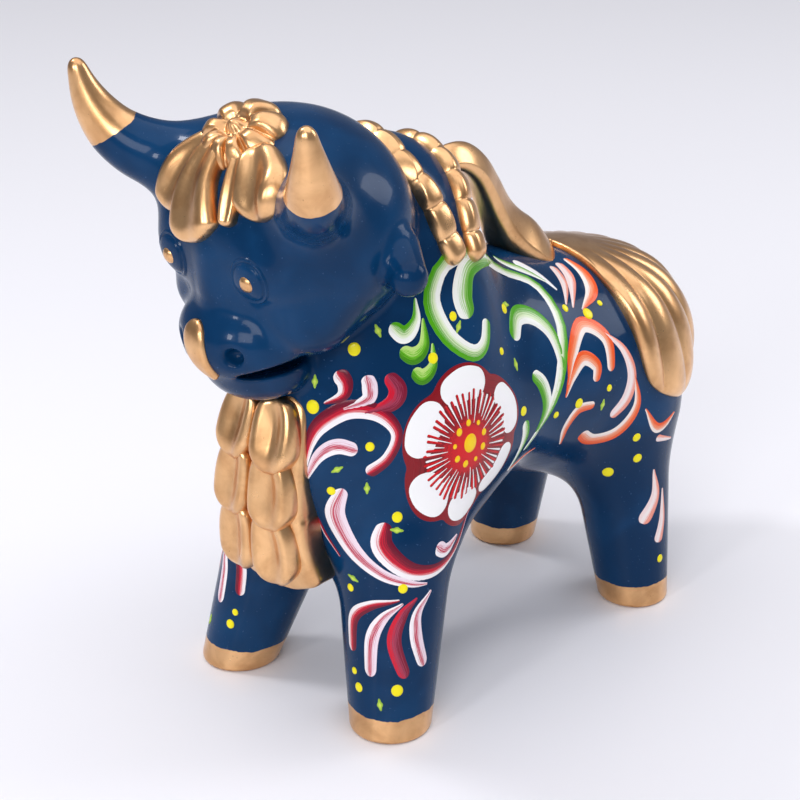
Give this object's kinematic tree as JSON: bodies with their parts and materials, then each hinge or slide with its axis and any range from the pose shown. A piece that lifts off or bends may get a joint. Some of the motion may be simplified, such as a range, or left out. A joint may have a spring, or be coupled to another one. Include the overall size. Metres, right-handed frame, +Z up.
{
  "type": "ceramic bull figurine",
  "caption": "Stout glazed ceramic bull on four legs, with upswept horns, gilded forelock rosette, ruffled collars, dewlap, back strap and pleated rump drape.",
  "frame": {"origin": "on the ground under the middle of the bull, midway between its foremost and rearmost points and on its middle plane", "axes": "+X from the tail to the head, +Y to the bull's own left side, +Z up"},
  "size_m": [0.1714, 0.0826, 0.1654],
  "materials": {
    "navy_glaze": "glossy dark blue glaze with brushed enamel flowers",
    "gold_lustre": "metallic gold lustre fired over the glaze",
    "eye_glaze": "glossy blue disc with a gilded pupil"
  },
  "bodies": {
    "root": {"back_handle": "gold_lustre", "body_half_left": "navy_glaze", "body_half_right": "navy_glaze", "collar_front": "gold_lustre", "collar_rear": "gold_lustre", "dewlap_backing": "gold_lustre", "dewlap_lobe_lower_left": "gold_lustre", "dewlap_lobe_lower_right": "gold_lustre", "dewlap_lobe_middle_left": "gold_lustre", "dewlap_lobe_middle_right": "gold_lustre", "dewlap_lobe_upper_left": "gold_lustre", "dewlap_lobe_upper_right": "gold_lustre", "ear_left": "navy_glaze", "ear_right": "navy_glaze", "eye_left": "eye_glaze", "eye_right": "eye_glaze", "head": "navy_glaze", "horn_left": "navy_glaze", "horn_right": "navy_glaze", "leg_front_left": "navy_glaze", "leg_front_right": "navy_glaze", "leg_rear_left": "navy_glaze", "leg_rear_right": "navy_glaze", "neck": "navy_glaze", "rosette_blossom": "gold_lustre", "rosette_petal_fold": "gold_lustre", "rosette_petal_left": "gold_lustre", "rosette_petal_middle": "gold_lustre", "rosette_petal_right": "gold_lustre", "rump_drape": "gold_lustre", "tongue": "gold_lustre"}
  },
  "joints": []
}
